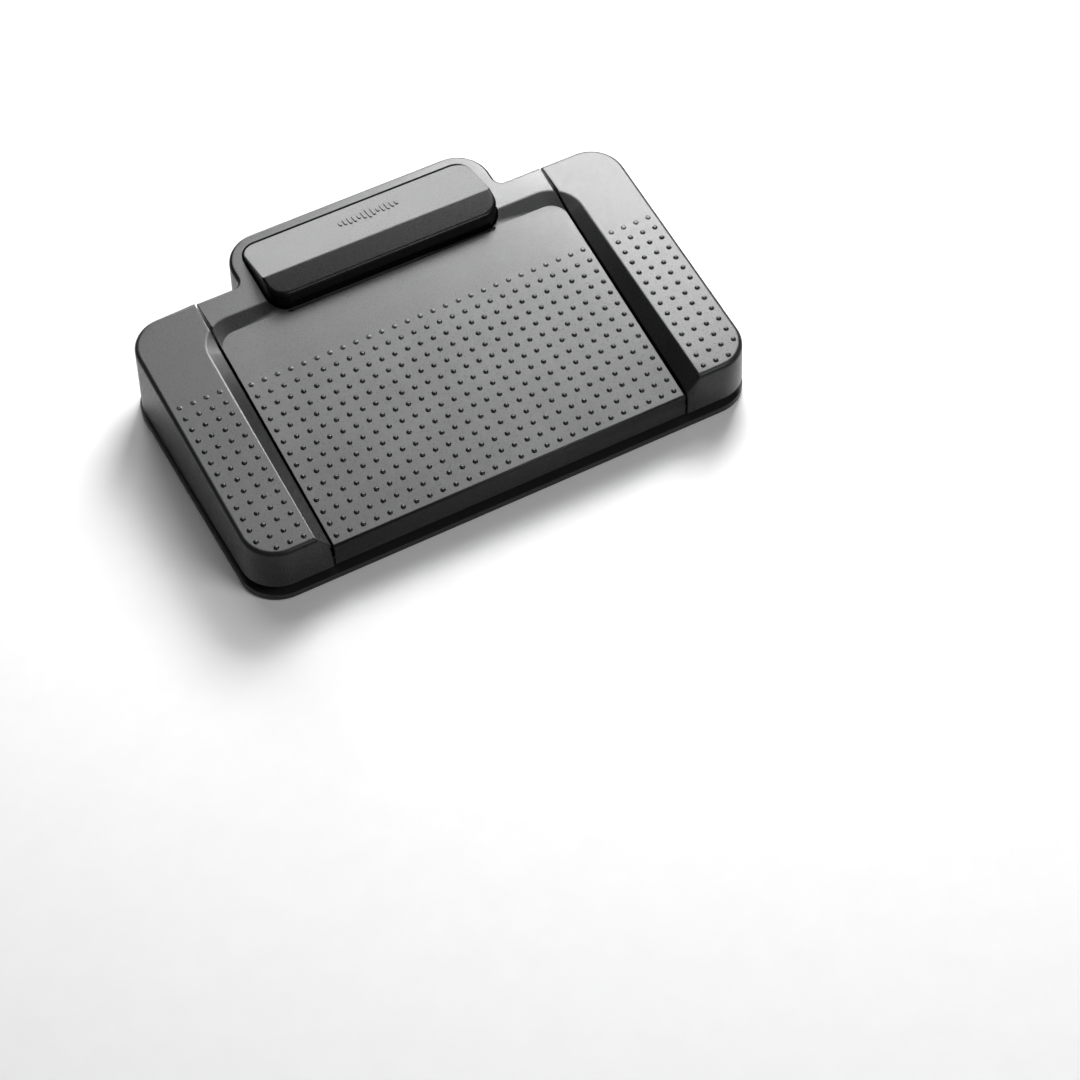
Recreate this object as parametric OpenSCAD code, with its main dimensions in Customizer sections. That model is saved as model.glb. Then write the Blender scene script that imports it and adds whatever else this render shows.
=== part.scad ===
// Four-pedal foot control for transcription: wedge shaped, black base, grey pedals.
// X to the right, Y towards the back, Z up. Origin: centre of the footprint, on the floor.

/* [Body] */
// Width over the base rim
body_w = 252.5; // [251.5:0.5:256]
// Depth from the front rim to the back of the hump
body_d = 166; // [165.6:0.2:168]
// Height of the side pedals' top face at the front rim
side_front_z = 31.7; // [30.6:0.1:32.8]
// Slope of the side pedals' top face, degrees
side_slope = 5.2; // [4.8:0.1:5.5]
// Height of the middle pedal's sunk tread at the front rim
tread_front_z = 22.2; // [21.6:0.1:22.8]
// Slope of the sunk tread, degrees
tread_slope = 8.75; // [8.5:0.05:8.9]

/* [Pedals] */
// Gap between neighbouring pedals
split_gap = 1.15; // [0.9:0.05:1.4]
// Thickness of the pedals' top wall
top_t = 2.5; // [2.2:0.1:2.8]
// Thickness of the pedals' skirts
skirt_t = 2.2; // [1.8:0.1:2.4]
// Rounding of the pedals' upper edge
edge_r = 1.3; // [0.8:0.1:1.6]
// Full press of a floor pedal, degrees
press_angle = 2.2; // [1.6:0.1:2.2]

/* [Grip dots] */
// Spacing of the grip dots
dot_pitch = 6.5; // [6.4:0.05:6.55]
// Diameter of a grip dot at the surface
dot_d = 2.1; // [1.6:0.1:2.6]
// Height of a full grip dot
dot_h = 0.5; // [0.3:0.05:0.7]

/* [Hinge] */
// Diameter of the long steel hinge shaft
shaft_d = 4; // [3.6:0.1:4.2]
// Radial running clearance of the bushes on the shaft
run_clear = 0.05; // [0.03:0.01:0.08]
// Diameter of the top pedal's pin
pin_d = 3; // [2.6:0.1:3.2]

/* [Springs] */
// Wire diameter of the pedal springs
wire_d = 1.0; // [0.8:0.1:1.2]
// Turns of a pedal spring
spring_turns = 6; // [5:1:7]

/* [Hidden] */

hw = body_w/2;              // half width of the base rim
split_x = 87.9;             // half width of the middle pedal
side_x = split_x + split_gap;
ped_w = hw - 1.95;          // half width of the pedals at their top edge
ped_y0 = 1.0;               // front top edge of the side pedals
ped_y1 = body_d - 26.54;    // rear top edge of the side pedals and rail
hump_w = 66.2;              // half width of the hump
hump_y = body_d - 1.76;     // rear top edge of the hump
corner_r = 16.5;
draft = 0.040;              // outward lean of the skirts
sS = tan(side_slope);
sM = tan(tread_slope);
function zS(y) = side_front_z + y*sS;
function zM(y) = tread_front_z + y*sM;
function zB(y) = 10.3 - 0.041*y;      // lower edge of the skirts
axis_y = 128;               // hinge shaft
axis_z = 12;
shaft_r = shaft_d/2;
bush_r = 4;
pin_y = 150;                // top pedal's pin
pin_z = 42;
rec_cx = 79.2;              // centre of the sunk tread's rear corners
rec_cy = 110;
open_w = 59.0;              // half width of the opening for the top pedal
open_y0 = 118.6;
open_y1 = 158.9;
bar_w = 58.3;               // half width of the top pedal
bar_y0 = 119.2;
bar_y1 = 158.4;
ridge_y = 131.5;            // ridge of the top pedal
ridge_z = 52.4;
well_z = 30;                // floor of the top pedal's well
floor_z = 4;                // upper face of the base's floor
spring_top_z = 20;
side_spring = [106, 70];
mid_spring = [45, 70];
magnet_y = 32;
row_y = 5.6;                // first row of dots
plate_bolts = [[-112, 50], [112, 50], [-30, 14], [30, 14], [-58, 100], [58, 100], [-34, 152], [34, 152]];
feet_at = [[-100, 20], [100, 20], [0, 20], [-92, 116], [92, 116], [0, 150]];
cover_bolts = [[-70, 17.8], [70, 17.8], [-70, 46.2], [70, 46.2]];
down_stops = [[-106, 12], [106, 12], [-44, 12], [44, 12]];
up_stops = [[-108, 134.2], [108, 134.2], [-52, 134.4], [52, 134.4]];
gland_x = -22;
gland_z = 8.5;

module place() { translate([0, -body_d/2, 0]) children(); }
module both() { children(); mirror([1, 0, 0]) children(); }

// ---- outlines and lofts -------------------------------------------------
function arc(c, r, a0, a1, n) = [for (i = [0:n]) let (a = a0 + (a1 - a0)*i/n) [c[0] + r*cos(a), c[1] + r*sin(a)]];
// sunk tread's wall at half width w, open at the front
function tread_outline(w) = concat([[-w, -6], [w, -6]],
    arc([rec_cx, rec_cy], w - rec_cx, 0, 90, 8),
    arc([-rec_cx, rec_cy], w - rec_cx, 90, 180, 8));
module loft(rings) {
    n = len(rings[0]);
    m = len(rings);
    polyhedron(
        points = [for (r = rings) for (p = r) p],
        faces = concat(
            [[for (i = [0:n - 1]) i]],
            [for (k = [0:m - 2]) for (i = [0:n - 1]) let (j = (i + 1) % n) [k*n + i, (k + 1)*n + i, (k + 1)*n + j]],
            [for (k = [0:m - 2]) for (i = [0:n - 1]) let (j = (i + 1) % n) [k*n + i, (k + 1)*n + j, k*n + j]],
            [[for (i = [n - 1:-1:0]) (m - 1)*n + i]]),
        convexity = 8);
}
// What is cut away over the sunk tread: its wall leans out from the floor to the top face.
module tread_cut(w, dz) {
    a = tread_outline(w);
    c = tread_outline(95.4);
    e = tread_outline(w + 1.2*(95.4 - w));
    n = len(a);
    loft([[for (p = a) [p[0], p[1], zM(p[1]) + dz]],
          [for (i = [0:n - 1]) [e[i][0], e[i][1], 1.2*zS(c[i][1]) - 0.2*(zM(a[i][1]) + dz)]],
          [for (p = e) [p[0], p[1], zS(p[1]) + 25]]]);
}
module below_skirt() { translate([0, 0, zB(0)]) rotate([-2.348, 0, 0]) translate([-200, -60, -60]) cube([400, 300, 60]); }
module above(z0, slope, dz) {
    translate([0, 0, z0 + dz]) rotate([slope, 0, 0]) translate([-200, -60, 0]) cube([400, 300, 60]);
}
module slab(x0, x1, y0, y1, z0, z1) { translate([x0, y0, z0]) cube([x1 - x0, y1 - y0, z1 - z0]); }
module rod(x0, x1, r, y, z) { translate([x0, y, z]) rotate([0, 90, 0]) cylinder(r = r, h = x1 - x0, $fn = 64); }
module post(p, r, z0, z1) { translate([p[0], p[1], z0]) cylinder(r = r, h = z1 - z0, $fn = 48); }
module rrect(x0, y0, x1, y1, r) {
    translate([x0 + r, y0]) square([x1 - x0 - 2*r, y1 - y0]);
    translate([x0, y0 + r]) square([x1 - x0, y1 - y0 - 2*r]);
    for (x = [x0 + r, x1 - r]) for (y = [y0 + r, y1 - r]) translate([x, y]) circle(r = r, $fn = 64);
}
// A grip dot: a ball sunk so that a cap of height h and diameter dot_d stands out.
module dot(x, y, z, slope, h) {
    br = (dot_d*dot_d/4 + h*h)/(2*h);
    b = min(br, 1.15);
    translate([x, y, z]) rotate([slope, 0, 0]) translate([0, 0, h - b]) sphere(r = b, $fn = 24);
}
function dot_height(j) = j == 13 ? 0.4*dot_h : j == 12 ? 0.75*dot_h : dot_h;

// ---- hinge eyes, springs, stops on the pedals -----------------------------
module eye(x0, x1, top) {
    difference() {
        union() {
            slab(x0, x1, axis_y - 6.5, axis_y + 6.5, axis_z, top);
            rod(x0, x1, 6.5, axis_y, axis_z);
        }
        rod(x0 - 1, x1 + 1, bush_r + 0.02, axis_y, axis_z);
    }
}
module bush(x0, x1) {
    difference() {
        union() {
            rod(x0, x1, bush_r, axis_y, axis_z);
            rod(x0 - 0.8, x0, 5.2, axis_y, axis_z);
        }
        rod(x0 - 2, x1 + 1, shaft_r + run_clear, axis_y, axis_z);
    }
}
module spring_post(p, top) {
    post(p, 6.2, spring_top_z, top);
    post(p, 3.2, spring_top_z - 7, spring_top_z + 1);
}
module magnet_post(p, top) {
    difference() {
        post(p, 5, 14, top);
        post(p, 3.02, 13, 18);
    }
}
module magnet(p, z) { post(p, 3, z, z + 4); }
module stop_rib(p, z0, top, w = 5) { slab(p[0] - w, p[0] + w, p[1] - 1.1, p[1] + 1.1, z0, top); }
function down_z() = floor_z + 4 + (axis_y - 12)*sin(press_angle) + 0.1;

// ---- side pedals ----------------------------------------------------------
module side_pedal() {
    difference() {
        translate([0, 0, -1]) linear_extrude(height = 60) rrect(30, ped_y0, ped_w + 0.5, ped_y1 + 0.5, corner_r);
        slab(20, side_x, -10, 200, -10, 90);
        above(side_front_z, side_slope, 0);
        below_skirt();
        tread_cut(88.9, -1.0);
        difference() {
            translate([0, 0, -2]) linear_extrude(height = 70)
                rrect(30, ped_y0 + skirt_t, ped_w + 0.5 - skirt_t, ped_y1 + 0.5 - skirt_t, corner_r - skirt_t);
            slab(20, side_x + skirt_t, -10, 200, -10, 90);
            above(side_front_z, side_slope, -top_t);
            difference() {
                above(tread_front_z, tread_slope, -1.0 - top_t);
                slab(97.8, 200, -20, 200, -20, 90);
            }
        }
        // room for the hinge shaft and boards under the inner wall
        slab(side_x - 1, side_x + skirt_t + 0.5, ped_y0 + skirt_t, ped_y1 - skirt_t + 0.5, -2, 17.5);
    }
    if (dot_h > 0) for (j = [0:13]) for (i = [0:3])
        if (i < 3 || j > 0)
            dot(99.5 + i*dot_pitch, row_y + j*dot_pitch, zS(row_y + j*dot_pitch), side_slope, dot_height(j));
}
// Frame bonded under the pedal's top wall: hinge eyes, spring seat, magnet holder and stops.
module side_frame() {
    difference() {
        union() {
            eye(93, 98, 60);
            eye(112, 117, 60);
            slab(93, 117, 121.5, 123.7, 19, 60);
            slab(104.9, 107.1, 11, 122, 27, 60);
            spring_post(side_spring, 60);
            magnet_post([106, magnet_y], 60);
            stop_rib([106, 12], down_z(), 60);
            slab(106, 108, 123, 134, 22, 60);
            stop_rib([108, 134.2], floor_z + 4.05, 60, 2);
        }
        above(side_front_z, side_slope, -top_t);
        difference() {
            above(tread_front_z, tread_slope, -1.0 - top_t);
            slab(97.8, 200, -20, 200, -20, 90);
        }
    }
}
module right_pedal() { color("#4a4b4d") side_pedal(); }
module left_pedal() { color("#4a4b4d") mirror([1, 0, 0]) side_pedal(); }
module right_frame() { color("#3a3b3d") side_frame(); }
module left_frame() { color("#3a3b3d") mirror([1, 0, 0]) side_frame(); }

// ---- middle pedal with rail and hump --------------------------------------
module opening2d(g) {
    rrect(-open_w - g, open_y0 - g, open_w + g, open_y1 + g, 8.3 + g);
    translate([-open_w - g, open_y0 - g]) square([2*(open_w + g), 20]);
}
module mid2d(i) {
    translate([-split_x + i, ped_y0 + i]) square([2*split_x - 2*i, ped_y1 + 0.5 - ped_y0 - 2*i]);
    rrect(-hump_w - 0.5 + i, 60, hump_w + 0.5 - i, hump_y + 0.5 - i, corner_r - i);
    if (i == 0) both() difference() {
        translate([hump_w, ped_y1]) square([4.5, 4.5]);
        translate([hump_w + 4.5, ped_y1 + 4.5]) circle(r = 4, $fn = 48);
    }
}
module middle_shell() {
    difference() {
        union() {
            difference() {
                translate([0, 0, -1]) linear_extrude(height = 60) mid2d(0);
                above(side_front_z, side_slope, 0);
                tread_cut(88.0, -0.4);
            }
            // the tread itself
            difference() {
                translate([0, 0, 5]) linear_extrude(height = 50)
                    difference() {
                        rrect(-88.6, -30, 88.6, rec_cy + 9.4, 9.4);
                        translate([-120, -40]) square([240, 40 + ped_y0]);
                        both() translate([split_x, -40]) square([20, 240]);
                    }
                above(tread_front_z, tread_slope, 0);
            }
        }
        below_skirt();
        // hollow under the tread, rail and hump, but not the top pedal's well
        difference() {
            translate([0, 0, -2]) linear_extrude(height = 60) mid2d(skirt_t);
            above(side_front_z, side_slope, -top_t);
            difference() {
                above(tread_front_z, tread_slope, -top_t);
                difference() {
                    slab(-200, 200, 121.6, 200, -20, 90);
                    slab(-open_w - 2, open_w + 2, 90, 130, -20, 90);
                }
            }
            translate([0, 0, 28]) linear_extrude(height = 40) rrect(-open_w - 2, open_y0 - 2, open_w + 2, open_y1 + 2, 10.3);
        }
        // well that holds the top pedal
        translate([0, 0, 30]) linear_extrude(height = 40) {
            rrect(-open_w, open_y0, open_w, open_y1, 8.3);
        }
        // skirt of the hump ends above the base's rear wall
        slab(-100, 100, ped_y1 + 2.9, 200, -2, 14.2);
        // room for the shaft and boards under the split walls
        both() slab(split_x - 2.6, split_x + 1, ped_y0 + skirt_t, ped_y1 - skirt_t + 0.5, -2, 17.5);
    }
}
module middle_pedal() {
    color("#55565a") {
        middle_shell();
        for (j = [0:13]) for (i = [-13:13])
            dot(i*dot_pitch, row_y + j*dot_pitch, zM(row_y + j*dot_pitch), tread_slope, dot_height(j));
    }
}
// Frame bonded under the tread, with the lugs of the top pedal's pin standing up through the well.
module middle_frame() {
    color("#3a3b3d") difference() {
        union() {
            both() {
                eye(66, 71, 60);
                slab(66, 71, 58, 124, 24, 60);
                spring_post(mid_spring, 60);
                stop_rib([44, 12], down_z(), 60);
                stop_rib([52, 134.4], floor_z + 4.05, 60);
                slab(43.9, 46.1, 11, 114, 20.2, 60);
                slab(51, 67, 132.2, 134.4, 20, 60);
            }
            magnet_post([0, magnet_y], 60);
            slab(-1.1, 1.1, 32, 62, 21, 60);
            slab(-71, 71, 60, 62, 21, 60);
        }
        difference() {
            above(tread_front_z, tread_slope, -top_t);
            difference() {
                slab(-200, 200, 121.6, 200, -20, 90);
                slab(-open_w - 2, open_w + 2, 90, 130, -20, 90);
            }
        }
        above(side_front_z, side_slope, -top_t);
        // clear of the well
        translate([0, 0, well_z - 2]) linear_extrude(height = 40) rrect(-open_w - 2, open_y0 - 2, open_w + 2, open_y1 + 2, 10.3);
    }
}
// Lugs for the top pedal's pin, standing on the well's floor.
module pin_lugs() {
    color("#3a3b3d") both() difference() {
        slab(46, 50, pin_y - 3.2, pin_y + 3.2, well_z, pin_z + 2.6);
        rod(45, 51, pin_d/2 + 0.02, pin_y, pin_z);
    }
}

// ---- top pedal -------------------------------------------------------------
module roof(dz) {
    // everything above the two roof faces, lowered by dz
    translate([0, ridge_y, ridge_z - dz]) rotate([-13.2, 0, 0]) translate([-100, 0, 0]) cube([200, 80, 40]);
    translate([0, ridge_y, ridge_z - dz]) rotate([13.2, 0, 0]) translate([-100, -80, 0]) cube([200, 80.0, 40]);
    translate([-100, ridge_y - 10, ridge_z - dz]) cube([200, 20, 40]);
}
module top_pedal() {
    color("#5a5b5f") {
        difference() {
            translate([0, 0, 35.5]) linear_extrude(height = 20) rrect(-bar_w, bar_y0, bar_w, bar_y1, 7.8);
            roof(0);
            difference() {
                translate([0, 0, 30]) linear_extrude(height = 30)
                    rrect(-bar_w + 2, bar_y0 + 2, bar_w - 2, bar_y1 - 1.8, 5.5);
                roof(2.2);
            }
            // room for the well's rear wall as the pedal tips
            slab(-100, 100, bar_y1 - 6, bar_y1 + 5, 30, 40.5);
        }
        raised_bars();
    }
}
module raised_bars() {
        // raised level-meter motif, drawn by rule
        translate([0, ridge_y, ridge_z]) rotate([-13.2, 0, 0])
            for (i = [-6:6]) let (h = 1.6 + 4.4*abs(cos(i*46))*(1 - abs(i)/9))
                translate([3 + i*2.4, 16.5, -0.1]) linear_extrude(height = 0.5) {
                    translate([-0.75, -h/2]) square([1.5, h]);
                    for (s = [-1, 1]) translate([0, s*h/2]) circle(r = 0.75, $fn = 20);
                }
}
// Frame bonded inside the top pedal: pin lugs, spring seat, magnet holder, stops.
module top_frame() {
    color("#3a3b3d") difference() {
        union() {
            both() {
                difference() {
                    slab(41, 45.4, pin_y - 3.2, pin_y + 3.2, pin_z - 3.2, 60);
                    rod(40, 46, pin_d/2 + run_clear, pin_y, pin_z);
                }
                slab(37, 39, 122, 125, well_z + 1.6, 60);
                slab(37, 39, 122, 156, 44, 60);
            }
            both() slab(37, 39, 152.5, 156, well_z + 0.1, 60);
            slab(-45.4, 45.4, 152, 154, 44, 60);
            slab(-39, 39, 126.5, 128.5, 44.5, 60);
            post([0, 127.5], 5.2, 40, 60);
            post([0, 127.5], 2.6, 36, 41);
            difference() {
                post([20, 126.5], 4.4, 36, 60);
                post([20, 126.5], 3.02, 35, 40);
            }
        }
        roof(2.2);
    }
}
// ---- base ------------------------------------------------------------------
module base2d(i) {
    rrect(-hw + i, i, hw - i, ped_y1 + 2.14 - i, 18.5 - i);
    rrect(-hump_w - 1.4 + i, 60, hump_w + 1.4 - i, body_d - i, 17.9 - i);
    both() difference() {
        translate([hump_w + 1.4 - i - 0.5, ped_y1 + 2.14 - i - 0.5]) square([3.6 + i + 0.5, 3.6 + i + 0.5]);
        translate([hump_w + 5 , ped_y1 + 5.74]) circle(r = 3.6 + i, $fn = 48);
    }
}
module tower(x0, x1) {
    difference() {
        union() {
            slab(x0, x1, axis_y - 5, axis_y + 5, floor_z - 1, axis_z);
            rod(x0, x1, 5, axis_y, axis_z);
        }
        rod(x0 - 1, x1 + 1, shaft_r + 0.02, axis_y, axis_z);
    }
}
module cup(p) {
    difference() {
        post(p, 7.4, floor_z - 1, floor_z + 3);
        post(p, 6.2, floor_z, floor_z + 4);
    }
}
module base_tray() {
    color("#131314") difference() {
        union() {
            translate([0, 0, 0.8]) linear_extrude(height = floor_z - 0.8) base2d(0);
            // upright wall inside the skirts
            difference() {
                translate([0, 0, floor_z - 1]) linear_extrude(height = 5.6) base2d(6);
                translate([0, 0, floor_z - 2]) linear_extrude(height = 12) base2d(8);
                slab(-77, 77, ped_y1 - 8, 200, floor_z, 20);
            }
            // rear wall under the hump, with the cable's way out
            difference() {
                translate([0, 0, floor_z - 1]) linear_extrude(height = 10) base2d(1);
                translate([0, 0, floor_z - 2]) linear_extrude(height = 16) base2d(3.2);
                slab(-200, 200, -20, ped_y1 + 4, floor_z, 40);
            }
            both() {
                tower(100, 105);
                tower(76, 81);
                cup(side_spring);
                cup(mid_spring);
            }
            tower(-4, 4);
            for (p = plate_bolts) post(p, 3.6, floor_z - 1, floor_z + 5);
            for (p = cover_bolts) post(p, 3.0, floor_z - 1, floor_z + 2.4);
            for (x = [-96, -40, 40, 96]) for (y = [26, 38]) post([x, y], 2, floor_z - 1, floor_z + 1);
            slab(gland_x - 7, gland_x + 7, 150, 153, floor_z - 1, 6.2);
            // slot that holds the riser board
            slab(12.4, 27.6, 117.4, 122.6, floor_z - 1, floor_z + 3);
        }
        // bottom plate's seat
        translate([0, 0, -1]) linear_extrude(height = 3) base2d(4);
        for (p = plate_bolts) post(p, 1.25, 0, floor_z + 4);
        for (p = cover_bolts) post(p, 1.0, floor_z - 0.6, floor_z + 4);
        translate([gland_x, 150, gland_z]) rotate([-90, 0, 0]) cylinder(r = 3.5, h = 30, $fn = 48);
        slab(13.9, 26.1, 119.36, 120.64, floor_z, floor_z + 5);
        for (p = down_stops) post(p, 3.5, floor_z - 0.8, floor_z + 0.2);
        for (p = up_stops) post(p, 2.45, floor_z - 0.8, floor_z + 0.2);
        both() slab(104.6, 122, 116, 138, floor_z, 20);
    }
}
module bottom_plate() {
    color("#2c2d2f") difference() {
        translate([0, 0, 0.8]) linear_extrude(height = 1.2) base2d(4.15);
        for (p = plate_bolts) {
            post(p, 1.5, 0, 3);
            post(p, 3.05, 0, 0.85);
            translate([p[0], p[1], 0.85]) cylinder(r1 = 3.05, r2 = 1.5, h = 1.1, $fn = 48);
        }
        for (p = feet_at) post(p, 8.1, 0, 3);
    }
}
module rubber_feet() { color("#1d1d1d") for (p = feet_at) post(p, 8, 0, 2); }
module plate_screws() {
    color("#8d9093") for (p = plate_bolts) difference() {
        union() {
            translate([p[0], p[1], 0.85]) cylinder(r1 = 2.7, r2 = 1.2, h = 1.1, $fn = 48);
            post(p, 1.2, 1.2, 7.2);
        }
        translate([p[0], p[1], 0.8]) { slab(-0.4, 0.4, -1.7, 1.7, 0, 0.6); slab(-1.7, 1.7, -0.4, 0.4, 0, 0.6); }
    }
}
module hinge_shaft() { color("#b9bcc0") rod(-119.4, 119.4, shaft_r, axis_y, axis_z); }
module shaft_clips() {
    color("#77797c") both() difference() {
        rod(117.3, 118.1, 4, axis_y, axis_z);
        rod(117, 120, shaft_r + 0.01, axis_y, axis_z);
        slab(117, 120, axis_y - 1.2, axis_y + 1.2, axis_z - 6, axis_z);
    }
}
module stop_pads() {
    color("#26262a") {
        for (p = down_stops) post(p, 3.45, floor_z - 0.8, floor_z + 4);
        for (p = up_stops) post(p, 2.4, floor_z - 0.8, floor_z + 4);
    }
}
module ballast_bar() {
    color("#6f7275") difference() {
        slab(-36, 36, 66, 98, floor_z, floor_z + 5);
        for (x = [-28, 28]) post([x, 82], 2, 3, 10);
    }
}
module main_board() {
    color("#1f5a34") difference() {
        slab(-111, 111, 24, 40, floor_z + 1, floor_z + 2.2);
        for (x = [-96, 96]) post([x, 26], 0.8, 3, 8);
    }
}
module controller_chip() { color("#1a1a1c") slab(22, 29, 28.5, 35.5, floor_z + 2.2, floor_z + 3.2); }
module hall_sensors() {
    color("#202024") {
        for (x = [-106, 0, 106]) slab(x - 1.5, x + 1.5, magnet_y - 1.5, magnet_y + 1.5, floor_z + 2.2, floor_z + 3.2);
        slab(18.5, 21.5, 120.6, 121.7, 22, 25);
    }
}
module cable_header() {
    color("#e8e6df") difference() {
        slab(-46, -34, 30, 36, floor_z + 2.2, floor_z + 3.9);
        slab(-45, -35, 31, 35.2, floor_z + 2.9, floor_z + 4.2);
    }
}
module board_cover() {
    color("#1b1b1d") difference() {
        union() {
            slab(-113.4, 113.4, 21.2, 42.8, floor_z + 0.6, floor_z + 5.2);
            for (p = cover_bolts) post(p, 3.4, floor_z + 2.4, floor_z + 3.6);
            for (p = cover_bolts) slab(p[0] - 3, p[0] + 3, min(p[1], 32), max(p[1], 32), floor_z + 2.4, floor_z + 3.6);
        }
        slab(-112.2, 112.2, 22.4, 41.6, floor_z - 1, floor_z + 4.1);
        for (p = cover_bolts) post(p, 1.3, floor_z, floor_z + 5);
        // way out for the lead
        slab(-43, -37, 41, 44, floor_z, floor_z + 2);
    }
}
module cover_gasket() {
    color("#3a3a3e") difference() {
        slab(-113.4, 113.4, 21.2, 42.8, floor_z, floor_z + 0.6);
        slab(-112.2, 112.2, 22.4, 41.6, floor_z - 1, floor_z + 2);
    }
}
module cover_screws() {
    color("#8d9093") for (p = cover_bolts) difference() {
        union() {
            post(p, 2.0, floor_z + 3.6, floor_z + 4.8);
            post(p, 0.98, floor_z, floor_z + 3.7);
        }
        slab(p[0] - 1.2, p[0] + 1.2, p[1] - 0.25, p[1] + 0.25, floor_z + 4.3, floor_z + 5);
    }
}
module riser_board() { color("#1f5a34") slab(14, 26, 119.4, 120.6, floor_z, 26); }
module cable_gland() {
    color("#161617") difference() {
        union() {
            translate([gland_x, 153.2, gland_z]) rotate([-90, 0, 0]) cylinder(r = 3.4, h = 12.2, $fn = 48);
            translate([gland_x, 165.0, gland_z]) rotate([-90, 0, 0]) cylinder(r = 4.3, h = 1.0, $fn = 48);
            translate([gland_x, 161.2, gland_z]) rotate([-90, 0, 0]) cylinder(r = 4.3, h = 1.6, $fn = 48);
        }
        translate([gland_x, 150, gland_z]) rotate([-90, 0, 0]) cylinder(r = 2.0, h = 30, $fn = 48);
    }
}

// ---- springs ----------------------------------------------------------------
// Helix of round wire: rings of 6 points, 12 rings a turn.
module coil(c, r, turns, z0, z1, w) {
    // the end turns climb by one wire so that the coil never meets itself
    m = 12*turns;
    p1 = w*1.04;
    zc = [for (i = [0:m]) let (t = i/12) t < 1 ? z0 + w/2 + p1*t : t > turns - 1 ? z1 - w/2 - p1*(turns - t) :
          z0 + w/2 + p1 + (z1 - z0 - w - 2*p1)*(t - 1)/(turns - 2)];
    pts = [for (i = [0:m]) let (a = 30*i) for (k = [0:5]) let (b = 60*k)
           [c[0] + (r + w/2*cos(b))*cos(a), c[1] + (r + w/2*cos(b))*sin(a), zc[i] + w/2*sin(b)]];
    polyhedron(points = pts, faces = concat(
        [[5, 4, 3, 2, 1, 0]],
        [for (i = [0:m - 1]) for (k = [0:5]) let (n = (k + 1) % 6) [i*6 + k, i*6 + n, (i + 1)*6 + n]],
        [for (i = [0:m - 1]) for (k = [0:5]) let (n = (k + 1) % 6) [i*6 + k, (i + 1)*6 + n, (i + 1)*6 + k]],
        [[for (k = [0:5]) m*6 + k]]), convexity = 10);
}
module left_spring() { color("#c9ccd0") coil([-side_spring[0], side_spring[1]], 4.6, spring_turns, floor_z + 0.05, spring_top_z - 0.05, wire_d); }
module right_spring() { color("#c9ccd0") coil(side_spring, 4.6, spring_turns, floor_z + 0.05, spring_top_z - 0.05, wire_d); }
module middle_springs() {
    color("#c9ccd0") for (s = [-1, 1]) coil([s*mid_spring[0], mid_spring[1]], 4.6, spring_turns, floor_z + 0.05, spring_top_z - 0.05, wire_d);
}
module top_spring() { color("#c9ccd0") coil([0, 127.5], 3.9, 5, 30.05, 39.95, 0.8); }

// ---- small moving pieces ------------------------------------------------------
module side_bushes() { bush(93, 98); bush(112, 117); }
module right_bushes() { color("#e4e0d2") side_bushes(); }
module left_bushes() { color("#e4e0d2") mirror([1, 0, 0]) side_bushes(); }
module middle_bushes() { color("#e4e0d2") both() bush(66, 71); }
module right_magnet() { color("#a7a9ad") magnet([106, magnet_y], 14); }
module left_magnet() { color("#a7a9ad") magnet([-106, magnet_y], 14); }
module middle_magnet() { color("#a7a9ad") magnet([0, magnet_y], 14); }
module top_magnet() { color("#a7a9ad") magnet([20, 126.5], 36); }
module top_pedal_pin() { color("#b9bcc0") both() rod(40.2, 50.6, pin_d/2, pin_y, pin_z); }

place() base_tray();
place() bottom_plate();
place() rubber_feet();
place() plate_screws();
place() hinge_shaft();
place() shaft_clips();
place() stop_pads();
place() ballast_bar();
place() main_board();
place() controller_chip();
place() hall_sensors();
place() cable_header();
place() board_cover();
place() cover_gasket();
place() cover_screws();
place() riser_board();
place() cable_gland();
place() left_spring();
place() middle_springs();
place() right_spring();
place() top_spring();
place() left_pedal();
place() left_frame();
place() left_bushes();
place() left_magnet();
place() middle_pedal();
place() middle_frame();
place() pin_lugs();
place() middle_bushes();
place() middle_magnet();
place() top_pedal_pin();
place() right_pedal();
place() right_frame();
place() right_bushes();
place() right_magnet();
place() top_pedal();
place() top_frame();
place() top_magnet();
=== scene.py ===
import math
import bpy
import bmesh
import mathutils
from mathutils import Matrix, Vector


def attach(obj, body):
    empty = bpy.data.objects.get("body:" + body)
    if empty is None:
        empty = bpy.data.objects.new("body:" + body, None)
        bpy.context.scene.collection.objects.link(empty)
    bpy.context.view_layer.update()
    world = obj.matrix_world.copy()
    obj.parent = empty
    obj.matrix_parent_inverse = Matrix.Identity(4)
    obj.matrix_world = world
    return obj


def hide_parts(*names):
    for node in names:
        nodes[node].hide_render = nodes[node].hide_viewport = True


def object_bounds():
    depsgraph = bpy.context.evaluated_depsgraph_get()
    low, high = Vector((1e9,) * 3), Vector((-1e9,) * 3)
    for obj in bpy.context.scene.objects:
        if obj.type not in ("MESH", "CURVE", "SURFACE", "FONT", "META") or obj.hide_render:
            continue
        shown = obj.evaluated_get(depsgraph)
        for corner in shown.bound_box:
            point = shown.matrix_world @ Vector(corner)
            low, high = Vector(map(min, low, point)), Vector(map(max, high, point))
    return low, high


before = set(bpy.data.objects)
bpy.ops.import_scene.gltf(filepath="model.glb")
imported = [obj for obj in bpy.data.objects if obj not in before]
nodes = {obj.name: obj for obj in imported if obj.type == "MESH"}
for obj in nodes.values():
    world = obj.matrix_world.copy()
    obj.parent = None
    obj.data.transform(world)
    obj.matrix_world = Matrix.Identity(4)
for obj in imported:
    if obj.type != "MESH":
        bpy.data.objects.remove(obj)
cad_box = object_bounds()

MM = 0.001
lo, hi = cad_box
HALF_D = (hi[1] - lo[1]) / 2          # the tray's depth is centred on the origin

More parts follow.
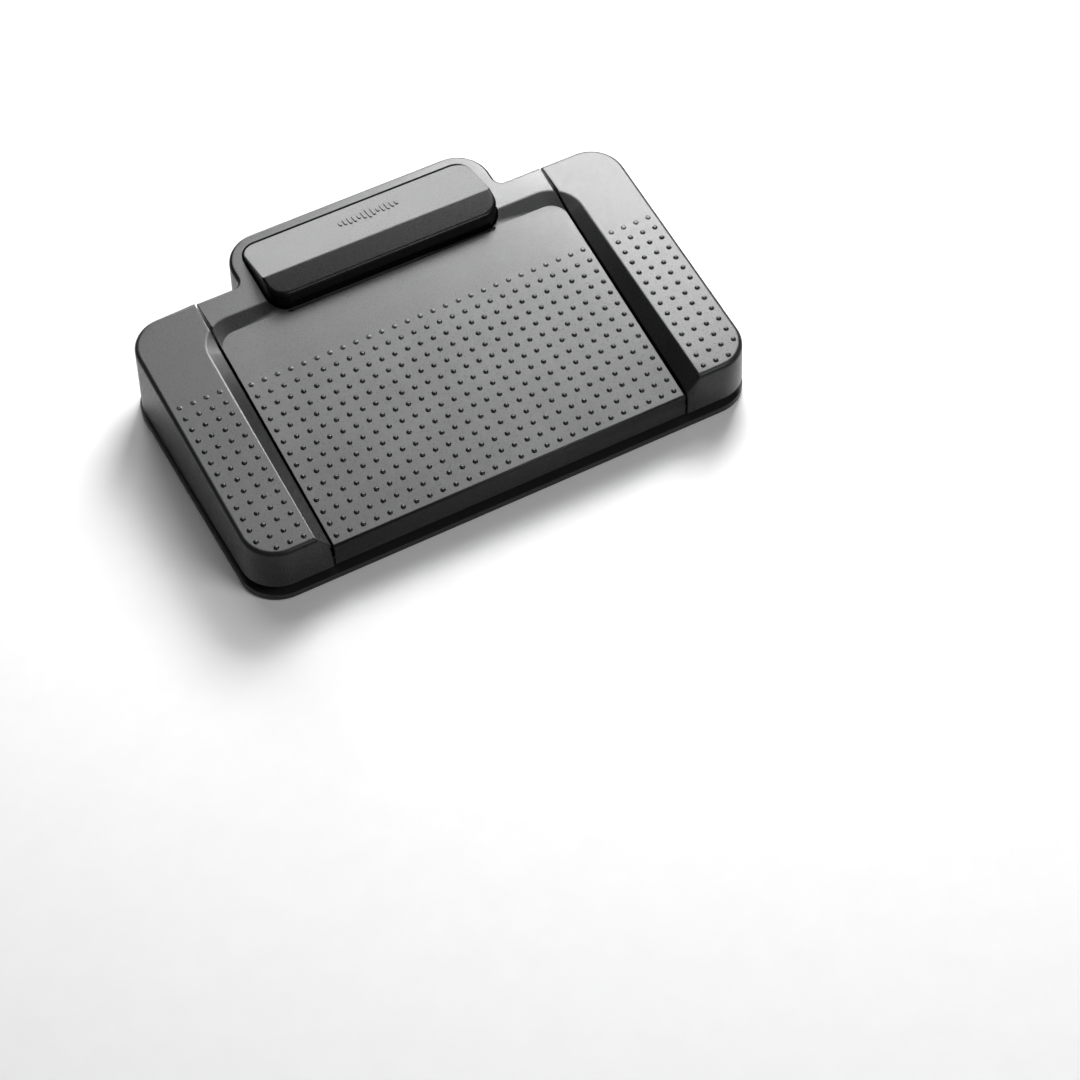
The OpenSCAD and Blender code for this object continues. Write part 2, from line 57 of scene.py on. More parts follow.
# ---------------------------------------------------------------- dimensions, mm
SIDE_Z, SIDE_S = 31.7, math.tan(math.radians(5.2))
TREAD_Z, TREAD_S = 22.2, math.tan(math.radians(8.75))
SPLIT, SIDE_X = 87.9, 89.05
PED_W, PED_Y0, PED_Y1 = 124.3, 1.0, 139.46
HUMP_W, HUMP_Y = 66.2, 164.24
R_OUT = 16.5
REC_CX, REC_CY = 79.2, 110.0
OPEN_W, OPEN_Y1, OPEN_R = 59.0, 158.9, 8.3
OPEN_RF = 9.2                         # front corners of the well
FLOOR_REAR = REC_CY + 8.8
DRAFT = 0.040


def zs(y): return SIDE_Z + y * SIDE_S
def zm(y): return TREAD_Z + y * TREAD_S
def zb(y): return 10.3 - 0.041 * y


def arc(cx, cy, r, a0, a1, n):
    return [(cx + r * math.cos(math.radians(a0 + (a1 - a0) * i / n)),
             cy + r * math.sin(math.radians(a0 + (a1 - a0) * i / n))) for i in range(n + 1)]


# ---------------------------------------------------------------- mesh helpers
class Sheet:
    """Collects vertices in mm, measured from the rim's front edge, and faces with welded points."""

    def __init__(self):
        self.v, self.key, self.f, self.w = [], {}, [], {}

    def p(self, x, y, z):
        k = (round(x, 4), round(y, 4), round(z, 4))
        if k not in self.key:
            self.key[k] = len(self.v)
            self.v.append(k)
        return self.key[k]

    def face(self, pts):
        ids = []
        for q in pts:
            i = self.p(*q)
            if not ids or ids[-1] != i:
                ids.append(i)
        if len(ids) > 1 and ids[0] == ids[-1]:
            ids.pop()
        if len(set(ids)) >= 3:
            self.f.append(ids)

    def strip(self, a, b):
        for i in range(len(a) - 1):
            self.face([a[i], a[i + 1], b[i + 1], b[i]])

    def weight(self, pts, w):
        for a, b in zip(pts[:-1], pts[1:]):
            i, j = self.p(*a), self.p(*b)
            if i != j:
                self.w[(min(i, j), max(i, j))] = w


def shade_smooth(me):
    me.polygons.foreach_set("use_smooth", [True] * len(me.polygons))


def sheet_object(sh, name, body, mat, bevel=2.0, thick=2.0, segments=5, mirror=False):
    me = bpy.data.meshes.new(name)
    sx = -1 if mirror else 1
    me.from_pydata([(sx * x * MM, (y * MM) - HALF_D, z * MM) for x, y, z in sh.v], [],
                   [f[::-1] if mirror else f for f in sh.f])
    me.update()
    bm = bmesh.new()
    bm.from_mesh(me)
    bmesh.ops.recalc_face_normals(bm, faces=bm.faces)
    up = sum(f.normal.z * f.calc_area() for f in bm.faces)
    if up < 0:
        bmesh.ops.reverse_faces(bm, faces=bm.faces)
    for e in bm.edges:
        i, j = sorted((e.verts[0].index, e.verts[1].index))
        if not sh.w.get((i, j)) and len(e.link_faces) == 2 and e.calc_face_angle(0.0) > 0.14:
            e.smooth = False
    bm.to_mesh(me)
    bm.free()
    att = me.attributes.new("bevel_weight_edge", "FLOAT", "EDGE")
    for e in me.edges:
        a, b = e.vertices
        att.data[e.index].value = sh.w.get((min(a, b), max(a, b)), 0.0)
    shade_smooth(me)
    ob = bpy.data.objects.new(name, me)
    bpy.context.scene.collection.objects.link(ob)
    bv = ob.modifiers.new("edges", "BEVEL")
    bv.limit_method = "WEIGHT"
    bv.width = bevel * MM
    bv.segments = segments
    bv.use_clamp_overlap = False
    bv.harden_normals = False
    bv.miter_outer = "MITER_SHARP"
    tr = ob.modifiers.new("flat", "TRIANGULATE")
    tr.min_vertices = 5
    if thick:
        so = ob.modifiers.new("wall", "SOLIDIFY")
        so.thickness = thick * MM
        so.offset = -1
        so.use_even_offset = False
    wn = ob.modifiers.new("normals", "WEIGHTED_NORMAL")
    wn.keep_sharp = True
    wn.weight = 60
    me.materials.append(mat)
    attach(ob, body)
    return ob


def plain_object(name, verts, faces, body, mat, smooth=True):
    me = bpy.data.meshes.new(name)
    me.from_pydata([(x * MM, y * MM - HALF_D, z * MM) for x, y, z in verts], [], faces)
    me.update()
    if smooth:
        shade_smooth(me)
    me.materials.append(mat)
    ob = bpy.data.objects.new(name, me)
    bpy.context.scene.collection.objects.link(ob)
    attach(ob, body)
    return ob


# ---------------------------------------------------------------- materials
def new_mat(name):
    m = bpy.data.materials.new(name)
    m.use_nodes = True
    nt = m.node_tree
    for n in list(nt.nodes):
        nt.nodes.remove(n)
    out = nt.nodes.new("ShaderNodeOutputMaterial")
    bs = nt.nodes.new("ShaderNodeBsdfPrincipled")
    nt.links.new(bs.outputs["BSDF"], out.inputs["Surface"])
    co = nt.nodes.new("ShaderNodeTexCoord")
    return m, nt, bs, co


def noise(nt, co, scale, detail=3.0, rough=0.55):
    n = nt.nodes.new("ShaderNodeTexNoise")
    n.inputs["Scale"].default_value = scale
    n.inputs["Detail"].default_value = detail
    n.inputs["Roughness"].default_value = rough
    nt.links.new(co.outputs["Object"], n.inputs["Vector"])
    return n


def ramp(nt, src, a, b, c0, c1):
    r = nt.nodes.new("ShaderNodeValToRGB")
    r.color_ramp.elements[0].position = a
    r.color_ramp.elements[1].position = b
    r.color_ramp.elements[0].color = (*c0, 1)
    r.color_ramp.elements[1].color = (*c1, 1)
    nt.links.new(src, r.inputs["Fac"])
    return r


def remap(nt, src, a, b, c, d):
    r = nt.nodes.new("ShaderNodeMapRange")
    r.inputs["From Min"].default_value = a
    r.inputs["From Max"].default_value = b
    r.inputs["To Min"].default_value = c
    r.inputs["To Max"].default_value = d
    nt.links.new(src, r.inputs["Value"])
    return r


def bump(nt, bs, src, strength, dist, prev=None):
    b = nt.nodes.new("ShaderNodeBump")
    b.inputs["Strength"].default_value = strength
    b.inputs["Distance"].default_value = dist
    nt.links.new(src, b.inputs["Height"])
    if prev is not None:
        nt.links.new(prev.outputs["Normal"], b.inputs["Normal"])
    nt.links.new(b.outputs["Normal"], bs.inputs["Normal"])
    return b


def moulded(name, col, rough, grain=0.35, scale=2600.0, spec=0.5, vary=0.12, shade=None):
    """Injection-moulded plastic with a fine spark-eroded grain.
    shade: (object normal's component, from, to, darkest) paints shade by face direction: where that component falls
    below the range, the colour is darkened down to the darkest factor and the specular is lowered. This stands in for
    shade and weaker reflection on walls and slopes, not a real change of colour or finish."""
    m, nt, bs, co = new_mat(name)
    big = noise(nt, co, 38.0, 4.0)
    c0 = tuple(x * (1 - vary) for x in col)
    c1 = tuple(min(1, x * (1 + vary)) for x in col)
    cr = ramp(nt, big.outputs["Fac"], 0.35, 0.65, c0, c1)
    fine = noise(nt, co, scale, 2.0, 0.6)
    mix = nt.nodes.new("ShaderNodeMix")
    mix.data_type = "RGBA"
    mix.blend_type = "MULTIPLY"
    mix.inputs["Factor"].default_value = 0.5
    sp = ramp(nt, fine.outputs["Fac"], 0.36, 0.64, (0.62, 0.62, 0.62), (1.0, 1.0, 1.0))
    nt.links.new(cr.outputs["Color"], mix.inputs["A"])
    nt.links.new(sp.outputs["Color"], mix.inputs["B"])
    colour = mix.outputs["Result"]
    # Painted shade: darken the colour and lower the specular by the face's direction in object space.
    if shade:
        sep = nt.nodes.new("ShaderNodeSeparateXYZ")
        nt.links.new(co.outputs["Normal"], sep.inputs["Vector"])
        f = remap(nt, sep.outputs[shade[0]], shade[1], shade[2], shade[3], 1.0)
        m2 = nt.nodes.new("ShaderNodeMix")
        m2.data_type = "RGBA"
        m2.blend_type = "MULTIPLY"
        m2.inputs["Factor"].default_value = 1.0
        nt.links.new(colour, m2.inputs["A"])
        nt.links.new(f.outputs["Result"], m2.inputs["B"])
        colour = m2.outputs["Result"]
        sp2 = remap(nt, f.outputs["Result"], shade[3], 1.0, spec * 0.35, spec)
        nt.links.new(sp2.outputs["Result"], bs.inputs["Specular IOR Level"])
    nt.links.new(colour, bs.inputs["Base Color"])
    rr = remap(nt, fine.outputs["Fac"], 0.36, 0.64, rough - 0.07, rough + 0.09)
    nt.links.new(rr.outputs["Result"], bs.inputs["Roughness"])
    bs.inputs["Specular IOR Level"].default_value = spec
    bump(nt, bs, fine.outputs["Fac"], grain, 0.00012)
    return m


def rubber_mat(name, col):
    m, nt, bs, co = new_mat(name)
    n = noise(nt, co, 900.0, 4.0)
    cr = ramp(nt, n.outputs["Fac"], 0.3, 0.7, tuple(x * 0.8 for x in col), tuple(x * 1.2 for x in col))
    nt.links.new(cr.outputs["Color"], bs.inputs["Base Color"])
    bs.inputs["Roughness"].default_value = 0.82
    bump(nt, bs, n.outputs["Fac"], 0.4, 0.0002)
    return m


def metal_mat(name, col, rough, stretch=(1, 1, 1), metallic=1.0):
    m, nt, bs, co = new_mat(name)
    mp = nt.nodes.new("ShaderNodeMapping")
    mp.inputs["Scale"].default_value = stretch
    nt.links.new(co.outputs["Object"], mp.inputs["Vector"])
    n = nt.nodes.new("ShaderNodeTexNoise")
    n.inputs["Scale"].default_value = 700.0
    n.inputs["Detail"].default_value = 3.0
    nt.links.new(mp.outputs["Vector"], n.inputs["Vector"])
    cr = ramp(nt, n.outputs["Fac"], 0.3, 0.7, tuple(x * 0.85 for x in col), tuple(min(1, x * 1.1) for x in col))
    nt.links.new(cr.outputs["Color"], bs.inputs["Base Color"])
    bs.inputs["Metallic"].default_value = metallic
    rr = remap(nt, n.outputs["Fac"], 0.3, 0.7, rough * 0.8, rough * 1.25)
    nt.links.new(rr.outputs["Result"], bs.inputs["Roughness"])
    bump(nt, bs, n.outputs["Fac"], 0.15, 0.0001)
    return m


def board_mat(name):
    m, nt, bs, co = new_mat(name)
    w = nt.nodes.new("ShaderNodeTexBrick")
    w.inputs["Scale"].default_value = 260.0
    w.inputs["Color1"].default_value = (0.02, 0.12, 0.05, 1)
    w.inputs["Color2"].default_value = (0.025, 0.15, 0.06, 1)
    w.inputs["Mortar"].default_value = (0.03, 0.2, 0.09, 1)
    w.inputs["Mortar Size"].default_value = 0.04
    nt.links.new(co.outputs["Object"], w.inputs["Vector"])
    nt.links.new(w.outputs["Color"], bs.inputs["Base Color"])
    n = noise(nt, co, 500.0)
    rr = remap(nt, n.outputs["Fac"], 0.3, 0.7, 0.3, 0.45)
    nt.links.new(rr.outputs["Result"], bs.inputs["Roughness"])
    bump(nt, bs, w.outputs["Fac"], 0.1, 0.00005)
    return m


# The three covers are one dark grey grained plastic. Painted light: the tread's base colour (0.072) is set lighter than
# the side pedals' (0.040) and the top pedal's (0.044), standing in for the lamps' reflection on it. Painted shade: the
# shade argument darkens the recess walls and rounded edges of the pedals and tread, and the top pedal's forward-facing
# slope.
M_side = moulded("pedal_grain_painted_shade", (0.040, 0.0405, 0.0422), 0.32, grain=0.32, scale=1900.0, shade=("Z", 0.90, 0.985, 0.40))
M_mid = moulded("tread_grain_painted_light_shade", (0.072, 0.0725, 0.0752), 0.33, grain=0.32, scale=1900.0, shade=("Z", 0.93, 0.985, 0.07))
M_top = moulded("top_grain_painted_shade", (0.044, 0.0444, 0.0462), 0.30, grain=0.32, scale=1900.0, shade=("Y", -0.20, 0.15, 0.03))
M_dot = moulded("dot_grain", (0.008, 0.0082, 0.0086), 0.24, grain=0.1, spec=0.34)
M_base = moulded("base_black", (0.010, 0.010, 0.011), 0.55, grain=0.3)
M_frame = moulded("frame_black", (0.030, 0.030, 0.031), 0.5)
M_plate = moulded("plate_black", (0.022, 0.022, 0.023), 0.6, grain=0.5, scale=1400.0)
M_cover = moulded("cover_black", (0.025, 0.025, 0.027), 0.45)
M_chip = moulded("chip_black", (0.018, 0.018, 0.019), 0.4)
M_head = moulded("header_cream", (0.62, 0.60, 0.52), 0.4)
M_bush = moulded("bush_white", (0.72, 0.70, 0.63), 0.32, grain=0.1)
M_rub = rubber_mat("rubber_black", (0.020, 0.020, 0.021))
M_pad = rubber_mat("stop_rubber", (0.035, 0.035, 0.038))
M_screw = metal_mat("zinc_steel", (0.50, 0.50, 0.52), 0.34)
M_shaft = metal_mat("ground_steel", (0.62, 0.63, 0.65), 0.22, (0.05, 1, 1))
M_spring = metal_mat("spring_wire", (0.60, 0.61, 0.63), 0.26)
M_iron = metal_mat("ballast_iron", (0.20, 0.20, 0.21), 0.6)
M_mag = metal_mat("nickel", (0.66, 0.65, 0.63), 0.2)
M_board = board_mat("board_green")

by_node = {
    "base_tray": M_base, "bottom_plate": M_plate, "rubber_feet": M_rub, "plate_screws": M_screw,
    "hinge_shaft": M_shaft, "shaft_clips": M_screw, "stop_pads": M_pad, "ballast_bar": M_iron,
    "main_board": M_board, "controller_chip": M_chip, "hall_sensors": M_chip, "cable_header": M_head,
    "board_cover": M_cover, "cover_gasket": M_pad, "cover_screws": M_screw, "riser_board": M_board,
    "cable_gland": M_rub, "left_spring": M_spring, "middle_springs": M_spring, "right_spring": M_spring,
    "top_spring": M_spring, "left_pedal": M_side, "left_frame": M_frame, "left_bushes": M_bush,
    "left_magnet": M_mag, "middle_pedal": M_mid, "middle_frame": M_frame, "pin_lugs": M_frame,
    "middle_bushes": M_bush, "middle_magnet": M_mag, "top_pedal_pin": M_shaft, "right_pedal": M_side,
    "right_frame": M_frame, "right_bushes": M_bush, "right_magnet": M_mag, "top_pedal": M_top,
    "top_frame": M_frame, "top_magnet": M_mag,
}
for n, ob in nodes.items():
    ob.data.materials.clear()
    ob.data.materials.append(by_node[n])


# ---------------------------------------------------------------- side pedals
def side_sheet():
    sh = Sheet()
    T = 6.35 / 7.4                       # where the split cuts the recess wall, seen along it
    zlow = 17.6

    def outline(o):
        return ([(SIDE_X, PED_Y0 - o), (95.4, PED_Y0 - o)]
                + arc(PED_W - R_OUT, PED_Y0 + R_OUT, R_OUT + o, -90, 0, 18)
                + arc(PED_W - R_OUT, PED_Y1 - R_OUT, R_OUT + o, 0, 90, 18)
                + [(SIDE_X, PED_Y1 + o)])

    def low(y): return zm(y) - 0.5
    top2 = outline(0)
    zt = lambda x, y: zs(y)
    z_in0 = zs(PED_Y0) + T * (low(PED_Y0) - zs(PED_Y0))
    top = [(SIDE_X, PED_Y0, z_in0)] + [(x, y, zs(y)) for x, y in top2[1:]]
    bot = []
    for (x, y), (x0, y0, z0) in zip(outline(1.0), top):
        d = DRAFT * (zs(y0) - zb(y0))
        bot.append((x, y, zb(y)))
    sh.strip(bot, top)
    # recess outline on the top face, from the front to where it meets the split line
    rec = [(95.4, PED_Y0)] + [(95.4, PED_Y0 + (REC_CY - PED_Y0) * i / 12) for i in range(1, 12)]
    inn = [(SIDE_X, y) for x, y in rec]
    phi = math.degrees(math.acos((SIDE_X - REC_CX) / 16.2))
    n = 8
    recz, innz = [], []
    for x, y in rec:
        recz.append((x, y, zs(y)))
        innz.append((SIDE_X, y, zs(y) + T * (low(y) - zs(y))))
    for i in range(n + 1):
        a = math.radians(phi * i / n)
        rx, ry = REC_CX + 16.2 * math.cos(a), REC_CY + 16.2 * math.sin(a)
        rho = (SIDE_X - REC_CX) / math.cos(a)
        t = (16.2 - rho) / 7.4
        fx, fy = REC_CX + 8.8 * math.cos(a), REC_CY + 8.8 * math.sin(a)
        iy = REC_CY + rho * math.sin(a)
        recz.append((rx, ry, zs(ry)))
        innz.append((SIDE_X, iy, zs(ry) + t * (low(fy) - zs(ry))))
    innz[-1] = recz[-1] = (SIDE_X, recz[-1][1], zs(recz[-1][1]))
    sh.strip(innz, recz)
    rear = (SIDE_X, PED_Y1, zs(PED_Y1))
    # top face
    sh.face(list(reversed(recz[1:])) + [(95.4, PED_Y0, zs(PED_Y0))] + top[2:] if False else
            top[1:] + list(reversed(recz[1:])))
    # inner wall on the split line
    wall = innz + [rear]
    sh.strip([(x, y, zlow) for x, y, z in wall], wall)
    # edge weights: rounded outer edge, crisper inner ones
    sh.weight(top[1:], 1.0)
    sh.weight([top[0], top[1]], 0.35)
    sh.weight(recz, 0.28)
    sh.weight(innz, 0.12)
    sh.weight([innz[-1], rear], 0.35)
    return sh


for name, body, mir in (("left_cover", "left_pedal_body", True), ("right_cover", "right_pedal_body", False)):
    ob = sheet_object(side_sheet(), name, body, M_side, bevel=2.2, mirror=mir)
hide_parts("left_pedal")
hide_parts("right_pedal")


# ---------------------------------------------------------------- middle pedal, rail and hump
def middle_sheet():
    sh = Sheet()
    F = FLOOR_REAR
    n = 14
    phi_b = math.degrees(math.acos((SPLIT - REC_CX) / 8.8))
    phi_t = math.degrees(math.acos((SPLIT - REC_CX) / 16.2))

    def half(sx):
        """right half for sx = 1"""
        f = lambda x, y, z: (sx * x, y, z)
        out = {}
        # floor's rear corner: from the split line round to the rear wall
        fl = [f(SPLIT, REC_CY + 8.8 * math.sin(math.radians(phi_b)), zm(REC_CY + 8.8 * math.sin(math.radians(phi_b))))]
        for i in range(1, n + 1):
            a = math.radians(phi_b + (90 - phi_b) * i / n)
            x, y = REC_CX + 8.8 * math.cos(a), REC_CY + 8.8 * math.sin(a)
            fl.append(f(x, y, zm(y)))
        # top outline's corner, same angles, cut by the split line
        tp, cutline = [], []
        cut = []
        angles = [phi_b + (90 - phi_b) * i / n for i in range(n + 1)]
        strip_lo, strip_hi = [], []
        for i, adeg in enumerate(angles):
            a = math.radians(adeg)
            fx, fy = REC_CX + 8.8 * math.cos(a), REC_CY + 8.8 * math.sin(a)
            rx, ry = REC_CX + 16.2 * math.cos(a), REC_CY + 16.2 * math.sin(a)
            lo_p = f(min(fx, SPLIT), fy, zm(fy))
            if rx > SPLIT:
                rho = (SPLIT - REC_CX) / math.cos(a)
                t = (rho - 8.8) / 7.4
                hi_p = f(SPLIT, REC_CY + rho * math.sin(a), zm(fy) + t * (zs(ry) - zm(fy)))
                cut.append(hi_p)
            else:
                hi_p = f(rx, ry, zs(ry))
                tp.append(hi_p)
            strip_lo.append(lo_p)
            strip_hi.append(hi_p)
        # the exact corner where the top outline meets the split line
        a = math.radians(phi_t)
        corner = f(SPLIT, REC_CY + 16.2 * math.sin(a), zs(REC_CY + 16.2 * math.sin(a)))
        for i in range(len(strip_lo) - 1):
            h0, h1 = strip_hi[i], strip_hi[i + 1]
            if h0 in cut and h1 in tp:
                sh.face([strip_lo[i], strip_lo[i + 1], h1, corner, h0])
            else:
                sh.face([strip_lo[i], strip_lo[i + 1], h1, h0])
        tp = [corner] + tp
        # straight part of the rear wall, cut by the rounded front corner of the well
        top_y = REC_CY + 16.2
        zw = lambda y: zm(F) + (y - F) / (top_y - F) * (zs(top_y) - zm(F))
        end = []
        a_top = math.degrees(math.asin((F + OPEN_RF - top_y) / OPEN_RF))
        for i in range(13):
            a = math.radians(-90 + (90 - a_top) * i / 12)
            x, y = OPEN_W - OPEN_RF + OPEN_RF * math.cos(a), F + OPEN_RF + OPEN_RF * math.sin(a)
            end.append(f(x, y, zw(y)))
        end[0] = f(OPEN_W - OPEN_RF, F, zm(F))
        end[-1] = (end[-1][0], top_y, zs(top_y))
        sh.face([f(REC_CX, F, zm(F))] + end + [f(REC_CX, top_y, zs(top_y))])
        arc_top = [end[-1]]
        for i in range(1, 4):
            a = math.radians(-a_top * (1 - i / 3))
            x, y = OPEN_W - OPEN_RF + OPEN_RF * math.cos(a), F + OPEN_RF + OPEN_RF * math.sin(a)
            arc_top.append(f(x, y, zs(y)))
        out["end"] = end
        out["arc_top"] = arc_top
        out["floor"] = strip_lo + [end[0]]
        out["rim"] = tp + [end[-1]]
        # profile along the split line
        prof = [f(SPLIT, PED_Y0, zm(PED_Y0)), strip_lo[0]] + [p for p in cut if p != strip_lo[0]] + [corner, f(SPLIT, PED_Y1, zs(PED_Y1))]
        sh.strip([(x, y, 17.6) for x, y, z in prof], prof)
        out["prof"] = prof
        sh.weight(out["rim"], 0.3)
        sh.weight([prof[0], prof[1]], 0.2)
        return out

    R, L = half(1), half(-1)
    # tread
    front_r, front_l = (SPLIT, PED_Y0, zm(PED_Y0)), (-SPLIT, PED_Y0, zm(PED_Y0))
    sh.face([front_l, front_r] + R["floor"] + list(reversed(L["floor"])))
    # front wall
    k = 12
    xs = [-SPLIT + 2 * SPLIT * i / k for i in range(k + 1)]
    sh.face([(-SPLIT, PED_Y0 - 0.5, zb(0)), (SPLIT, PED_Y0 - 0.5, zb(0)), front_r, front_l])
    sh.weight([front_l, front_r], 0.55)

    # outline of rail and hump, right half, from the split line to the middle
    def outline(o):
        return ([(SPLIT, PED_Y1 + o)]
                + arc(HUMP_W + 4, PED_Y1 + 4, 4 - o, 270, 180, 16)
                + arc(HUMP_W - R_OUT, HUMP_Y - R_OUT, R_OUT + o, 0, 90, 18))
    o0, o1 = outline(0), outline(0.45)
    top = [(x, y, zs(y)) for x, y in o0]
    bot = [(x, y, zb(y) if y < 142.2 else 14.3) for x, y in o1]
    topL = [(-x, y, z) for x, y, z in top]
    botL = [(-x, y, z) for x, y, z in bot]
    sh.strip(top + list(reversed(topL)), bot + list(reversed(botL)))
    sh.weight(top + list(reversed(topL)), 0.95)
    # well for the top pedal
    side = R["arc_top"]
    op = ([(p[0], p[1]) for p in side] + arc(OPEN_W - OPEN_R, OPEN_Y1 - OPEN_R, OPEN_R, 0, 90, 14))
    opz = [(x, y, zs(y)) for x, y in op]
    opL = [(-x, y, z) for x, y, z in opz]
    ring = opz + list(reversed(opL))
    rim_r, rim_l = R["rim"], L["rim"]
    # top face of rail and ring: two flat wings and the bridge behind the well
    k = len(rim_r) - 1
    loop = rim_r + ring[1:] + list(reversed(rim_l))[1:] + topL + list(reversed(top))
    sh.face(loop)
    full = ring + L["end"][::-1][1:] + R["end"][:-1]
    low = [(x, y, 30.0) for x, y, z in full]
    sh.strip(full + [full[0]], low + [low[0]])
    sh.weight(full + [full[0]], 0.14)
    sh.face(low)
    return sh


mid = sheet_object(middle_sheet(), "middle_cover", "middle_pedal_body", M_mid, bevel=2.2, thick=1.6)
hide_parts("middle_pedal")


# ---------------------------------------------------------------- top pedal
def top_sheet():
    sh = Sheet()
    W, Y0, Y1, RF, RR = 58.3, 119.2, 158.45, 8.6, 7.8
    RY, RZ = 131.5, 52.4
    SA, SF = math.tan(math.radians(13.2)), math.tan(math.radians(13.2))

    def zt(y): return RZ - SA * (y - RY) if y >= RY else RZ - SF * (RY - y)
    o = ([(0, Y0)] + arc(W - RF, Y0 + RF, RF, -90, 0, 12) + [(W, RY)]
         + arc(W - RR, Y1 - RR, RR, 0, 90, 12) + [(0, Y1)])
    right = [(x, y, zt(y)) for x, y in o]
    left = [(-x, y, z) for x, y, z in right]
    ring = right + list(reversed(left))[1:-1]
    low = [(x, y, 35.6) for x, y, z in ring]
    sh.strip(ring + [ring[0]], low + [low[0]])
    i = next(k for k, p in enumerate(right) if p[1] == RY)
    sh.face(right[:i + 1] + list(reversed(left[:i + 1])))
    sh.face(right[i:] + list(reversed(left[i:])))
    for half in (right, left):
        for p, q in zip(half[:-1], half[1:]):
            y = (p[1] + q[1]) / 2
            sh.weight([p, q], 0.8 if y < RY else 0.3)
    sh.weight([right[i], left[i]], 0.22)
    return sh


top = sheet_object(top_sheet(), "top_cover", "top_pedal_body", M_top, bevel=2.2, thick=1.8)
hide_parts("top_pedal")


# ---------------------------------------------------------------- grip dots
def dots(name, body, places, slope, mat):
    prof = [(1.36, -0.03), (1.22, 0.03), (1.12, 0.14), (0.97, 0.32), (0.74, 0.47), (0.42, 0.57), (0.14, 0.60)]
    seg = 18
    verts, faces = [], []
    ca, sa = math.cos(slope), math.sin(slope)
    for (x, y, z, k) in places:
        b = len(verts)
        for r, h in prof:
            for s in range(seg):
                t = 2 * math.pi * s / seg
                lx, ly, lz = r * math.cos(t), r * math.sin(t), h * k
                verts.append((x + lx, y + ly * ca - lz * sa, z + ly * sa + lz * ca))
        verts.append((x, y - 0.61 * k * sa, z + 0.61 * k * ca))
        c = len(verts) - 1
        for i in range(len(prof) - 1):
            for s in range(seg):
                t = (s + 1) % seg
                faces.append((b + i * seg + s, b + i * seg + t, b + (i + 1) * seg + t, b + (i + 1) * seg + s))
        for s in range(seg):
            faces.append((b + (len(prof) - 1) * seg + s, b + (len(prof) - 1) * seg + (s + 1) % seg, c))
    return plain_object(name, verts, faces, body, mat)


P = 6.5
ROW = 5.6
fade = lambda j: 0.35 if j == 13 else 0.7 if j == 12 else 1.0
mid_places = [(i * P, ROW + j * P, zm(ROW + j * P), fade(j)) for j in range(14) for i in range(-13, 14)]
side_places = [(99.5 + i * P, ROW + j * P, zs(ROW + j * P), fade(j)) for j in range(14) for i in range(4) if i < 3 or j > 0]
dots("middle_dots", "middle_pedal_body", mid_places, math.atan(TREAD_S), M_dot)
dots("right_dots", "right_pedal_body", side_places, math.atan(SIDE_S), M_dot)
dots("left_dots", "left_pedal_body", [(-x, y, z, k) for x, y, z, k in side_places], math.atan(SIDE_S), M_dot)


# ---------------------------------------------------------------- raised bars on the top pedal
def motif():
    verts, faces = [], []
    sl = math.radians(-13.2)
    for i in range(-6, 7):
        h = 1.6 + 4.4 * abs(math.cos(math.radians(i * 46))) * (1 - abs(i) / 9)
        cx = 3 + i * 2.4
        rings = []
        for grow, up in ((0.0, -0.1), (0.0, 0.28), (-0.08, 0.37), (-0.2, 0.40)):
            r = 0.72 + grow
            pts = [(cx + r * math.cos(math.radians(a)), h / 2 + r * math.sin(math.radians(a))) for a in range(0, 181, 20)]
            pts += [(cx - r * math.cos(math.radians(a)), -h / 2 - r * math.sin(math.radians(a))) for a in range(0, 181, 20)]
            rings.append([(x, y + 16.5, up) for x, y in pts])
        b = len(verts)
        n = len(rings[0])
        for ring in rings:
            for x, y, z in ring:
                verts.append((x, 131.5 + y * math.cos(sl) - z * math.sin(sl), 52.4 + y * math.sin(sl) + z * math.cos(sl)))
        for k in range(len(rings) - 1):
            for s in range(n):
                t = (s + 1) % n
                faces.append((b + k * n + s, b + k * n + t, b + (k + 1) * n + t, b + (k + 1) * n + s))
        faces.append(tuple(b + (len(rings) - 1) * n + s for s in range(n)))
    return plain_object("top_motif", verts, faces, "top_pedal_body", M_top, smooth=False)


motif()

# ---------------------------------------------------------------- studio
sc = bpy.context.scene
cam_d = bpy.data.cameras.new("cam")
cam_d.sensor_width = 36.0
cam_d.lens = 95.25
cam_d.clip_end = 50
cam = bpy.data.objects.new("cam", cam_d)
right = mathutils.Vector((0.8786, -0.4776, -0.0055)).normalized()
fwd = mathutils.Vector((0.2826, 0.5290, -0.8002)).normalized()
upv = right.cross(fwd).normalized()
rot = mathutils.Matrix((right, upv, -fwd)).transposed().to_4x4()
cam.matrix_world = mathutils.Matrix.Translation((-0.3577, -0.77605, 1.0123)) @ rot
sc.collection.objects.link(cam)
sc.camera = cam

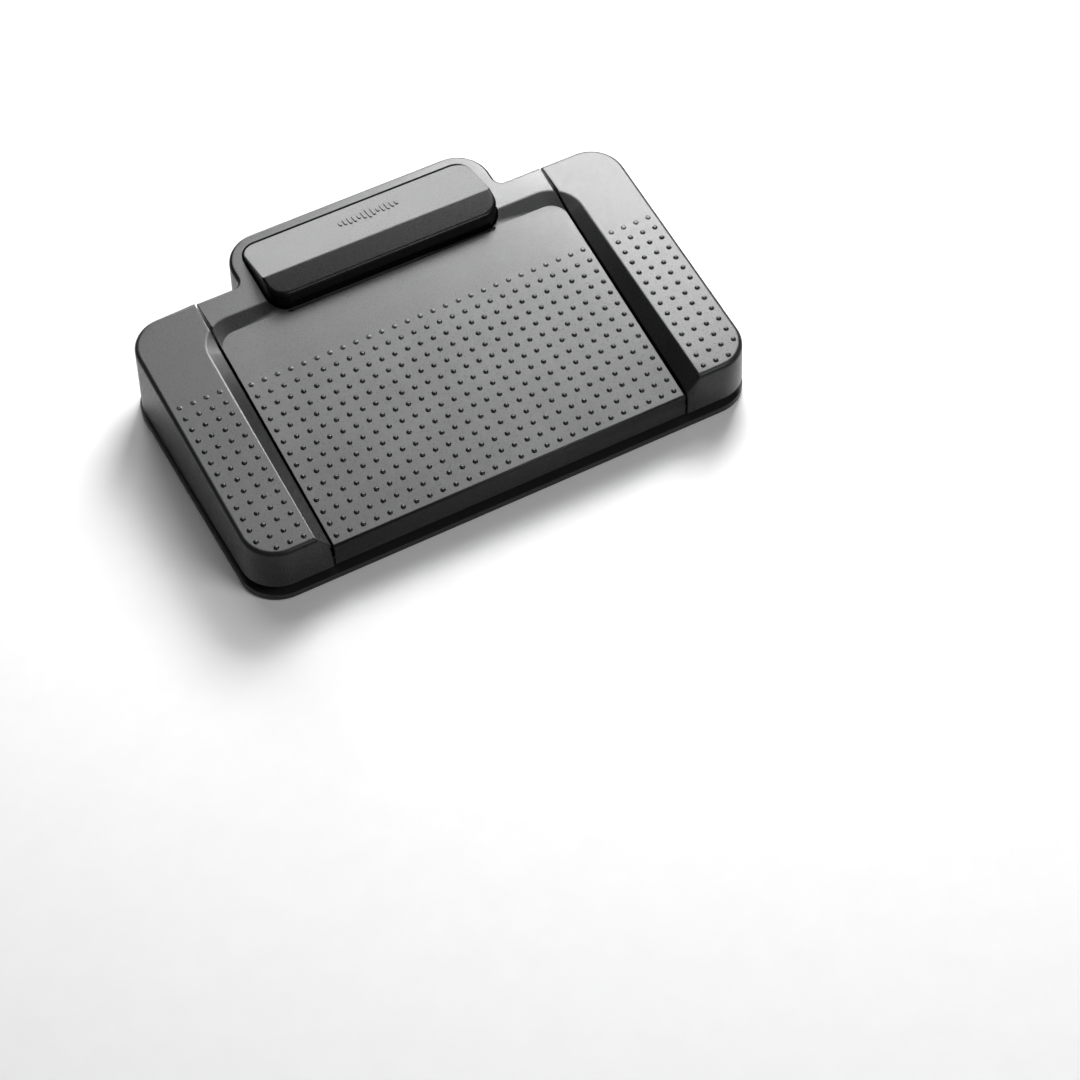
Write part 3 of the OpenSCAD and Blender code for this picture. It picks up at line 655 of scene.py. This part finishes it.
fm = bpy.data.meshes.new("floor")
S = 6.0
fm.from_pydata([(-S, -S, -0.0002), (S, -S, -0.0002), (S, S, -0.0002), (-S, S, -0.0002)], [], [(0, 1, 2, 3)])
floor = bpy.data.objects.new("floor", fm)
sc.collection.objects.link(floor)
m, nt, bs, co = new_mat("floor_paper")
n = noise(nt, co, 60.0)
cr = ramp(nt, n.outputs["Fac"], 0.3, 0.7, (0.86, 0.86, 0.865), (0.88, 0.88, 0.885))
nt.links.new(cr.outputs["Color"], bs.inputs["Base Color"])
bs.inputs["Roughness"].default_value = 0.7
bs.inputs["Specular IOR Level"].default_value = 0.2
fm.materials.append(m)

w = bpy.data.worlds.new("studio")
sc.world = w
w.use_nodes = True
bg = w.node_tree.nodes["Background"]
bg.inputs["Color"].default_value = (1.0, 1.0, 1.0, 1)
bg.inputs["Strength"].default_value = 0.10


def area(name, loc, target, sx, sy, power):
    d = bpy.data.lights.new(name, "AREA")
    d.shape = "RECTANGLE"
    d.size, d.size_y, d.energy = sx, sy, power
    ob = bpy.data.objects.new(name, d)
    ob.location = loc
    v = mathutils.Vector(target) - mathutils.Vector(loc)
    ob.rotation_euler = v.to_track_quat("-Z", "Y").to_euler()
    sc.collection.objects.link(ob)
    return ob


def soft_box(name, az, el, dist, aim, size, power):
    a, e = math.radians(az), math.radians(el)
    loc = tuple(p + dist * q for p, q in zip(aim, (math.cos(a) * math.cos(e), math.sin(a) * math.cos(e), math.sin(e))))
    return area(name, loc, aim, size, size, power)


WIDE, CLOSE = (0, 0, 0), (0.04, 0.04, 0.03)
soft_box("front_fill", -60, 45, 2.0, WIDE, 0.75, 14.0)
soft_box("back_low", 75, 22, 2.0, WIDE, 0.75, 14.1)
soft_box("back_high", 90, 62, 2.0, WIDE, 0.75, 6.9)
soft_box("back_close", 45, 45, 0.7, CLOSE, 0.35, 7.58)
soft_box("top_close", 45, 65, 0.7, CLOSE, 0.35, 0.88)
sc.view_settings.view_transform = "Standard"
sc.view_settings.look = "None"
